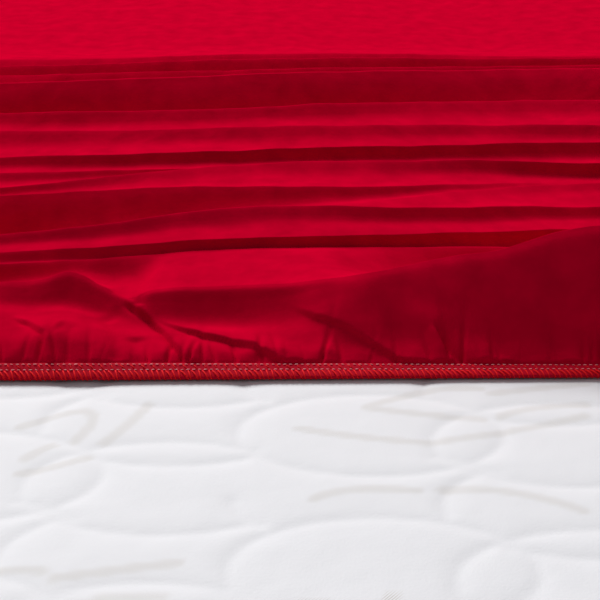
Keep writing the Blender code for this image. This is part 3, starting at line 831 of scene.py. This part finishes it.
def make_edging_band(loop, settings):
    """The elastic band overlocked to the sheet's edge: one closed ring."""
    shape = bmesh.new()
    rings = np.stack([on_band(loop, reach, rise) for reach, rise in band_section()], axis=1)
    verts = [[shape.verts.new(point) for point in ring] for ring in rings]
    for ring, following in zip(verts, verts[1:] + verts[:1]):
        for k in range(BAND_SIDES):
            n = (k + 1) % BAND_SIDES
            shape.faces.new([ring[k], ring[n], following[n], following[k]])
    bmesh.ops.recalc_face_normals(shape, faces=shape.faces[:])
    return finished("elastic_edging_band", shape, [thread_material("crimson_band", settings)])


def guide_along(points, facing):
    """A closed path as a mesh of edges that remembers which way the surface under it faces."""
    mesh = bpy.data.meshes.new("sewing_path")
    count = len(points)
    mesh.from_pydata([tuple(p) for p in points], [(k, (k + 1) % count) for k in range(count)], [])
    attribute = mesh.attributes.new("facing", "FLOAT_VECTOR", "POINT")
    attribute.data.foreach_set("vector", np.asarray(facing, float).ravel())
    return placed(mesh.name, mesh)


def add_node(tree, kind, inputs=None, **traits):
    """Add a node with its traits and its inputs, set or linked in, and give back its outputs."""
    node = tree.nodes.new(kind)
    for name, value in traits.items():
        setattr(node, name, value)
    feed(tree, node, inputs or {})
    return node.outputs


def feed(tree, node, inputs):
    """Set a node's inputs, or link them where the value is another node's output."""
    for name, value in inputs.items():
        if isinstance(value, bpy.types.NodeSocket):
            tree.links.new(value, node.inputs[name])
        else:
            node.inputs[name].default_value = value


def sewing_tree():
    """Geometry Nodes that set one shape again and again along a path, facing as the path says."""
    tree = bpy.data.node_groups.new("sewn_along_path", "GeometryNodeTree")
    for name, way, kind in (
        ("Geometry", "INPUT", "Geometry"),
        ("Geometry", "OUTPUT", "Geometry"),
        ("Shape", "INPUT", "Object"),
        ("Thread", "INPUT", "Material"),
        ("Pitch", "INPUT", "Float"),
        ("Turn", "INPUT", "Float"),
        ("Uneven", "INPUT", "Float"),
        ("Seed", "INPUT", "Int"),
    ):
        tree.interface.new_socket(name, in_out=way, socket_type=f"NodeSocket{kind}")

    given = add_node(tree, "NodeGroupInput")
    path = add_node(tree, "GeometryNodeMeshToCurve", {"Mesh": given["Geometry"]})
    spaced = add_node(tree, "GeometryNodeResampleCurve",
                      {"Curve": path["Curve"], "Length": given["Pitch"]}, mode="LENGTH")
    shape = add_node(tree, "GeometryNodeObjectInfo", {"Object": given["Shape"]})

    facing = add_node(tree, "GeometryNodeInputNamedAttribute", {"Name": "facing"},
                      data_type="FLOAT_VECTOR")
    tangent = add_node(tree, "GeometryNodeInputTangent")
    along = add_node(tree, "FunctionNodeAlignRotationToVector", {"Vector": tangent["Tangent"]}, axis="X")
    upright = add_node(tree, "FunctionNodeAlignRotationToVector",
                       {"Rotation": along["Rotation"], "Vector": facing["Attribute"]},
                       axis="Z", pivot_axis="X")

    back_turn = add_node(tree, "ShaderNodeMath", {0: given["Turn"], 1: -1.0}, operation="MULTIPLY")
    turn = add_node(tree, "FunctionNodeRandomValue",
                    {2: back_turn[0], 3: given["Turn"], "Seed": given["Seed"]})
    turn_way = add_node(tree, "ShaderNodeCombineXYZ", {"Z": turn[1]})
    rotation = add_node(tree, "FunctionNodeEulerToRotation", {0: turn_way[0]})
    turned = add_node(tree, "FunctionNodeRotateRotation",
                      {"Rotation": upright["Rotation"], "Rotate By": rotation[0]}, rotation_space="LOCAL")
    least = add_node(tree, "ShaderNodeMath", {0: 1.0, 1: given["Uneven"]}, operation="SUBTRACT")
    size = add_node(tree, "FunctionNodeRandomValue", {2: least[0], 3: 1.0, "Seed": given["Seed"]})

    put = add_node(tree, "GeometryNodeInstanceOnPoints",
                   {"Points": spaced["Curve"], "Instance": shape["Geometry"],
                    "Rotation": turned["Rotation"], "Scale": size[1]})
    real = add_node(tree, "GeometryNodeRealizeInstances", {"Geometry": put["Instances"]})
    dyed = add_node(tree, "GeometryNodeSetMaterial",
                    {"Geometry": real["Geometry"], "Material": given["Thread"]})
    add_node(tree, "NodeGroupOutput", {"Geometry": dyed["Geometry"]})
    return tree


def thread_shape(path, thick):
    """One short run of thread: a round tube through the path's points, closed at both ends."""
    shape = bmesh.new()
    path = [Vector(p) for p in path]
    rings = []
    for k, point in enumerate(path):
        way = path[min(k + 1, len(path) - 1)] - path[max(k - 1, 0)]
        turn = way.to_track_quat("X", "Z")
        narrow = THREAD_TIP if k in (0, len(path) - 1) else 1.0
        ring = []
        for n in range(THREAD_SIDES):
            angle = 2 * math.pi * n / THREAD_SIDES
            off = Vector((0.0, math.cos(angle), math.sin(angle))) * thick / 2 * narrow
            ring.append(shape.verts.new(point + turn @ off))
        rings.append(ring)
    for ring, following in zip(rings, rings[1:]):
        for n in range(THREAD_SIDES):
            m = (n + 1) % THREAD_SIDES
            shape.faces.new([ring[n], ring[m], following[m], following[n]])
    shape.faces.new(rings[0][::-1])
    shape.faces.new(rings[-1])
    bmesh.ops.recalc_face_normals(shape, faces=shape.faces[:])
    return finished("thread", shape, [])


def sew(sewing, guide, shape, material, pitch):
    """Set the shape along the guide, keep the result as a plain mesh and clear the helpers away."""
    tree = sewing_tree()
    modifier = guide.modifiers.new("sewing", "NODES")
    modifier.node_group = tree
    values = {"Shape": shape, "Thread": material, "Pitch": pitch, "Turn": sewing.turn,
              "Uneven": sewing.uneven, "Seed": SEWING_SEED}
    for socket in tree.interface.items_tree:
        if socket.in_out == "INPUT" and socket.name in values:
            modifier[socket.identifier] = values[socket.name]
    guide.update_tag()
    graph = bpy.context.evaluated_depsgraph_get()
    mesh = bpy.data.meshes.new_from_object(guide.evaluated_get(graph))
    mesh.name = sewing.name
    mesh.shade_smooth()
    guide.modifiers.remove(modifier)
    bpy.data.node_groups.remove(tree)
    for helper in (guide, shape):
        bpy.data.objects.remove(helper, do_unlink=True)
    return placed(sewing.name, mesh)


def facing_of(loop, reach):
    """Which way the edging's outer face looks, all round."""
    above = on_band(loop, reach, BAND_THICK)
    way = above - on_band(loop, reach, 0.0)
    return way / np.linalg.norm(way, axis=-1)[:, None]


def make_sewing(loop, sewing, settings):
    """One kind of thread sewn all along the band."""
    reach = (sewing.start + sewing.end) / 2
    half = (sewing.end - sewing.start) / 2
    on_face = on_band(loop, reach, BAND_THICK / 2 + sewing.off)
    guide = guide_along(on_face, facing_of(loop, reach))
    lean, every = (getattr(settings, name) * share for name, share in (sewing.lean, sewing.every))
    path = [(lean * along, half * across, up) for along, across, up in sewing.path]
    shape = thread_shape(path, sewing.thick)
    return sew(sewing, guide, shape, thread_material(sewing.thread, settings), every)


# ---- the mattress ----


def oval_arc(x, back, start, end):
    """Points along one arc of a quilting oval."""
    count = max(int(math.radians(end - start) * OVAL_HALF_WIDE / LINE_STEP), 2)
    turns = np.radians(np.linspace(start, end, count))
    return np.stack([x + OVAL_HALF_WIDE * np.cos(turns), back + OVAL_HALF_DEEP * np.sin(turns)], 1)


def repeated(points, repeat, copies):
    """The points again and again at the repeat's two steps, as far as the mattress reaches."""
    tiles = [points + np.array(repeat[0]) * i + np.array(repeat[1]) * j
             for i in range(-copies, copies + 1) for j in range(-copies, copies + 1)]
    points = np.concatenate(tiles)
    points[:, 1] += HEM_Y
    inside = (np.abs(points[:, 0]) < WIDTH / 2) & (points[:, 1] > -LENGTH / 2)
    return points[inside & (points[:, 1] < QUILT_BACK)]


def tree_of(points):
    tree = KDTree(len(points))
    for k, (x, y) in enumerate(points):
        tree.insert((x, y, 0.0), k)
    tree.balance()
    return tree


def away_from(lines, repeat, copies, places):
    """How far each place lies from the nearest line, once the lines are repeated."""
    tree = tree_of(repeated(np.concatenate(lines), repeat, copies))
    return np.array([tree.find((x, y, 0.0))[2] for x, y in places])


def arc_through(start, middle, end):
    """Points along the smooth curve through three places."""
    start, middle, end = (np.array(p) for p in (start, middle, end))
    control = 2 * middle - (start + end) / 2
    count = max(int(np.linalg.norm(end - start) / LINE_STEP), 3)
    t = np.linspace(0.0, 1.0, count)[:, None]
    return (1 - t) ** 2 * start + 2 * t * (1 - t) * control + t * t * end


def mattress_grid():
    """Girths and lengths of the mattress's mesh, fine where the ticking shows."""
    border = round_arc(MATTRESS)
    low = border + MATTRESS.wall
    past = steps(0.0, border, BORDER_STEPS) + steps(border, low, BORDER_STEPS)
    past += steps(low, low + border, BORDER_STEPS)
    inner = MATTRESS.flat_x - MATTRESS.corner
    fine = steps(0.0, inner, round(inner / QUILT_STEP))
    corner = steps(0.0, MATTRESS.corner, round(MATTRESS.corner / QUILT_STEP / 2))
    half = fine + [inner + c for c in corner] + [MATTRESS.flat_x + p for p in past]
    u = np.array([-g for g in reversed(half)] + [0.0] + half)
    inner_y = MATTRESS.flat_y - MATTRESS.corner
    foot = [-MATTRESS.flat_y - p for p in reversed(past)] + [-MATTRESS.flat_y + c for c in [0.0] + corner]
    foot += steps(-inner_y, QUILT_BACK, round((QUILT_BACK + inner_y) / QUILT_STEP))
    far = steps(QUILT_BACK, inner_y, round((inner_y - QUILT_BACK) / QUILT_FAR_STEP))
    head = [inner_y + c for c in corner] + [MATTRESS.flat_y + p for p in past]
    v = np.array(foot + far + head)
    kept = [k % THINNED_FAR == 0 or abs(g) > inner - SAME
            for k, g in zip(range(-len(half), len(half) + 1), u)]
    return u, v, len(foot), np.array(kept)


def make_mattress(settings):
    """The mattress: a quilted top panel that rounds over into a plain border."""
    u, v, fine_rows, carried = mattress_grid()
    u, v = np.meshgrid(u, v)
    past = np.maximum(np.abs(u) - MATTRESS.flat_x, np.abs(v) - MATTRESS.flat_y)
    near = (np.clip(v, -MATTRESS.flat_y, MATTRESS.flat_y) < QUILT_BACK) & (past < EDGE_ROUND)
    places = skin(MATTRESS, u, v, np.zeros_like(u))[near][:, :2]

    away = away_from([oval_arc(*row) for row in OVALS], QUILT_REPEAT, QUILT_COPIES, places)
    lift = np.zeros_like(u)
    fade = 1 - smooth_step(0.0, EDGE_ROUND, np.maximum(past[near], 0.0))
    lift[near] = -settings.quilt_depth * fade * np.exp(-away / settings.quilt_reach)

    kept = (np.abs(u) <= MATTRESS.flat_x + SAME) | (np.abs(v) <= MATTRESS.flat_y + SAME)
    kept[fine_rows:] &= carried
    shape = bmesh.new()
    woven_surface(shape, skin(MATTRESS, u, v, lift), kept, np.stack([u, v], axis=-1))
    bmesh.ops.contextual_create(shape, geom=[e for e in shape.edges if e.is_boundary])
    bmesh.ops.recalc_face_normals(shape, faces=shape.faces[:])
    obj = finished("mattress_ticking", shape, [white_ticking(settings)])
    paint_bands(obj, places)
    return obj


def paint_bands(obj, places):
    """Keep on each point of the mattress how much it lies in a woven band."""
    away = away_from([arc_through(*arc) for arc in WOVEN_ARCS], WOVEN_REPEAT, WOVEN_COPIES, places)
    inner, outer = (WOVEN_HALF_WIDE * (1 + soft) for soft in (-WOVEN_SOFT, WOVEN_SOFT))
    strength = 1 - smooth_step(inner, outer, away)
    tree = tree_of(places)
    values = np.zeros(len(obj.data.vertices))
    for k, vertex in enumerate(obj.data.vertices):
        if vertex.co.z > HEIGHT - EDGE_ROUND and vertex.co.y < QUILT_BACK:
            values[k] = strength[tree.find((vertex.co.x, vertex.co.y, 0.0))[1]]
    attribute = obj.data.attributes.new("woven", "FLOAT", "POINT")
    attribute.data.foreach_set("value", values)


# ---- materials ----


def new_material(name, shader_inputs):
    """A material whose shader has the given inputs, and its tree and shader for the rest."""
    material = bpy.data.materials.new(name)
    material.use_nodes = True
    tree = material.node_tree
    shader = tree.nodes["Principled BSDF"]
    feed(tree, shader, shader_inputs)
    return material, tree, shader


def noise(tree, place, scale, detail=2.0, distortion=0.0):
    """A soft random pattern."""
    inputs = {"Vector": place, "Scale": scale, "Detail": detail, "Distortion": distortion}
    return add_node(tree, "ShaderNodeTexNoise", inputs)["Fac"]


def thread_wave(tree, place, pitch, axis):
    """A row of threads at the pitch, across one axis."""
    inputs = {"Vector": place, "Scale": WAVE_UNIT / pitch}
    return add_node(tree, "ShaderNodeTexWave", inputs,
                    wave_type="BANDS", bands_direction=axis, wave_profile="SIN")["Fac"]


def product(tree, first, second):
    return add_node(tree, "ShaderNodeMath", {0: first, 1: second}, operation="MULTIPLY")[0]


def relief(tree, pattern, strength, distance, under=None):
    """The pattern as fine relief, on the relief under it."""
    inputs = {"Strength": strength, "Distance": distance, "Height": pattern}
    if under:
        inputs["Normal"] = under
    return add_node(tree, "ShaderNodeBump", inputs)["Normal"]


def dyed(tree, colour, pattern, tones, shares=(0.0, 1.0)):
    """The colour, darker and lighter between two tones as the pattern goes between two shares."""
    tone = add_node(tree, "ShaderNodeMapRange",
                    {"Value": pattern, "From Min": shares[0], "From Max": shares[1],
                     "To Min": tones[0], "To Max": tones[1]})
    return add_node(tree, "ShaderNodeMix", {"Factor": 1.0, "A": (*colour, 1.0), "B": tone["Result"]},
                    data_type="RGBA", blend_type="MULTIPLY")["Result"]


def crimson_cloth(settings):
    """Smooth plain-woven cotton with a faint sheen, its weave and slubs following the cloth."""
    material, tree, shader = new_material("crimson_cloth", {
        "Roughness": 0.62, "Specular IOR Level": 0.0, "Sheen Weight": 0.02, "Sheen Roughness": 0.40,
        "Sheen Tint": (1.0, 0.0, 0.03, 1.0)})
    cloth = add_node(tree, "ShaderNodeUVMap", uv_map="cloth")["UV"]
    mottle = noise(tree, cloth, scale=55.0, detail=4.0)
    weave = product(tree, *(thread_wave(tree, cloth, settings.thread, axis) for axis in "XY"))
    drawn_out = add_node(tree, "ShaderNodeMapping", {"Vector": cloth, "Scale": (0.12, 1.0, 1.0)})
    slub = noise(tree, drawn_out["Vector"], scale=160.0, detail=3.0)
    crumple = noise(tree, cloth, scale=26.0, distortion=0.8)
    surface = relief(tree, weave, strength=0.5, distance=settings.weave)
    surface = relief(tree, slub, strength=0.35, distance=0.0004, under=surface)
    surface = relief(tree, crumple, strength=0.45, distance=0.0022, under=surface)
    colour = dyed(tree, settings.colour, mottle, tones=(0.86, 1.06), shares=(0.3, 0.7))
    feed(tree, shader, {"Base Color": colour, "Normal": surface})
    return material


def thread_material(name, settings):
    """Sewing thread: its strands show as fine relief, and its colour varies a little."""
    colour, roughness, uneven = THREADS[name]
    material, tree, shader = new_material(name, {"Roughness": roughness, "Specular IOR Level": 0.05})
    strands = noise(tree, add_node(tree, "ShaderNodeTexCoord")["Object"], scale=900.0)
    colour = dyed(tree, getattr(settings, colour), strands, tones=(1 - uneven, 1 + uneven))
    surface = relief(tree, strands, strength=0.5, distance=0.0002)
    feed(tree, shader, {"Base Color": colour, "Normal": surface})
    return material


def white_ticking(settings):
    """White knitted ticking with a fine grain, and faint bands of slanting threads woven in."""
    material, tree, shader = new_material("white_ticking", {
        "Roughness": 0.72, "Specular IOR Level": 0.3, "Sheen Weight": 0.2})
    place = add_node(tree, "ShaderNodeTexCoord")["Object"]
    slanted = add_node(tree, "ShaderNodeMapping",
                       {"Vector": place, "Rotation": (0.0, 0.0, math.radians(HATCH_SLANT_DEG))})
    hatch = thread_wave(tree, slanted["Vector"], HATCH_PITCH, "X")
    thin = add_node(tree, "ShaderNodeMapRange", {"Value": hatch, "From Min": 0.55, "From Max": 0.95})
    woven = add_node(tree, "ShaderNodeAttribute", attribute_name="woven")["Fac"]
    tint = add_node(tree, "ShaderNodeMix",
                    {"Factor": product(tree, thin["Result"], woven), "A": (*settings.colour, 1.0),
                     "B": (*HATCH_COLOUR, 1.0)}, data_type="RGBA")
    grain = noise(tree, place, scale=700.0, detail=3.0)
    padding = noise(tree, place, scale=38.0)
    surface = relief(tree, grain, strength=0.4, distance=0.0003)
    surface = relief(tree, padding, strength=0.5, distance=0.0012, under=surface)
    feed(tree, shader, {"Base Color": tint["Result"], "Normal": surface})
    return material


def floor_material(settings):
    """A plain pale floor."""
    inputs = {"Base Color": (*settings.floor_colour, 1.0), "Roughness": 0.9}
    return new_material("pale_floor", inputs)[0]


# ---- the stage ----


def make_floor(settings):
    shape = bmesh.new()
    bmesh.ops.create_grid(shape, x_segments=1, y_segments=1, size=FLOOR_HALF)
    floor = finished("floor", shape, [floor_material(settings)])


def make_light(lamp, power):
    light = bpy.data.lights.new(lamp.name, "AREA")
    light.size = lamp.size
    light.energy = power
    light.color = lamp.tint
    obj = placed(lamp.name, light)
    obj.location = lamp.place
    way = Vector(lamp.target) - Vector(lamp.place)
    obj.rotation_euler = way.to_track_quat("-Z", "Y").to_euler()


def make_camera():
    camera = bpy.data.cameras.new("camera")
    camera.lens = LENS
    camera.sensor_width = SENSOR
    obj = placed("camera", camera)
    obj.location = (0.0, HEM_Y - CAMERA_BACK, HEIGHT + CAMERA_UP)
    obj.rotation_euler = (math.radians(90 - CAMERA_DOWN_DEG), 0.0, 0.0)
    bpy.context.scene.camera = obj


def set_world(strength):
    world = bpy.data.worlds.new("soft_world")
    world.use_nodes = True
    background = world.node_tree.nodes["Background"]
    background.inputs["Color"].default_value = SKY_TINT
    background.inputs["Strength"].default_value = strength
    bpy.context.scene.world = world


class BEDDING_OT_mattress(Operator):
    """Make the white quilted mattress"""

    bl_idname = "bedding.make_mattress"
    bl_label = "Make mattress"

    def execute(self, context):
        piece = make_mattress(context.scene.bedding_mattress)
        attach(piece, BODY)
        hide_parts("mattress")
        return {"FINISHED"}


class BEDDING_OT_sheet(Operator):
    """Make the fitted sheet's cloth in its folds"""

    bl_idname = "bedding.make_sheet"
    bl_label = "Make sheet"

    def execute(self, context):
        cloth = make_sheet_cloth(context.scene.bedding_sheet)
        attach(cloth, BODY)
        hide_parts("sheet_cloth")
        return {"FINISHED"}


class BEDDING_OT_edging(Operator):
    """Make the elastic edging and the sewing on it, once the sheet's cloth is there"""

    bl_idname = "bedding.make_edging"
    bl_label = "Make edging"

    def execute(self, context):
        settings = context.scene.bedding_edging
        loop = edge_loop()
        band = make_edging_band(loop, settings)
        sewn = [make_sewing(loop, sewing, settings) for sewing in SEWING]
        for piece in [band, *sewn]:
            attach(piece, BODY)
        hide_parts("elastic_edging")
        return {"FINISHED"}


class BEDDING_OT_stage(Operator):
    """Make the floor, the lights and the camera"""

    bl_idname = "bedding.make_stage"
    bl_label = "Make stage"

    def execute(self, context):
        settings = context.scene.bedding_stage
        make_floor(settings)
        make_light(KEY_LAMP, settings.key_power)
        make_light(FILL_LAMP, settings.fill_power)
        set_world(settings.ambient)
        make_camera()
        context.scene.view_settings.view_transform = "Standard"
        return {"FINISHED"}


class BEDDING_PT_panel(Panel):
    """Sizes and colours of the bedding, and a button for each part"""

    bl_idname = "BEDDING_PT_panel"
    bl_label = "Fitted sheet"
    bl_space_type = "VIEW_3D"
    bl_region_type = "UI"
    bl_category = "Bedding"

    def draw(self, context):
        scene = context.scene
        parts = (
            (scene.bedding_mattress, BEDDING_OT_mattress),
            (scene.bedding_sheet, BEDDING_OT_sheet),
            (scene.bedding_edging, BEDDING_OT_edging),
            (scene.bedding_stage, BEDDING_OT_stage),
        )
        for settings, operator in parts:
            column = self.layout.column(align=True)
            for name in settings.__annotations__:
                column.prop(settings, name)
            column.operator(operator.bl_idname)


SETTINGS = {
    "bedding_sheet": SheetSettings,
    "bedding_edging": EdgingSettings,
    "bedding_mattress": MattressSettings,
    "bedding_stage": StageSettings,
}
CLASSES = (
    *SETTINGS.values(),
    BEDDING_OT_mattress,
    BEDDING_OT_sheet,
    BEDDING_OT_edging,
    BEDDING_OT_stage,
    BEDDING_PT_panel,
)


def register():
    for item in CLASSES:
        bpy.utils.register_class(item)
    for name, settings in SETTINGS.items():
        setattr(bpy.types.Scene, name, PointerProperty(type=settings))


def unregister():
    for name in SETTINGS:
        delattr(bpy.types.Scene, name)
    for item in reversed(CLASSES):
        bpy.utils.unregister_class(item)


def main():
    register()
    bpy.ops.bedding.make_mattress()
    bpy.ops.bedding.make_sheet()
    bpy.ops.bedding.make_edging()
    bpy.ops.bedding.make_stage()


if __name__ == "__main__":
    main()
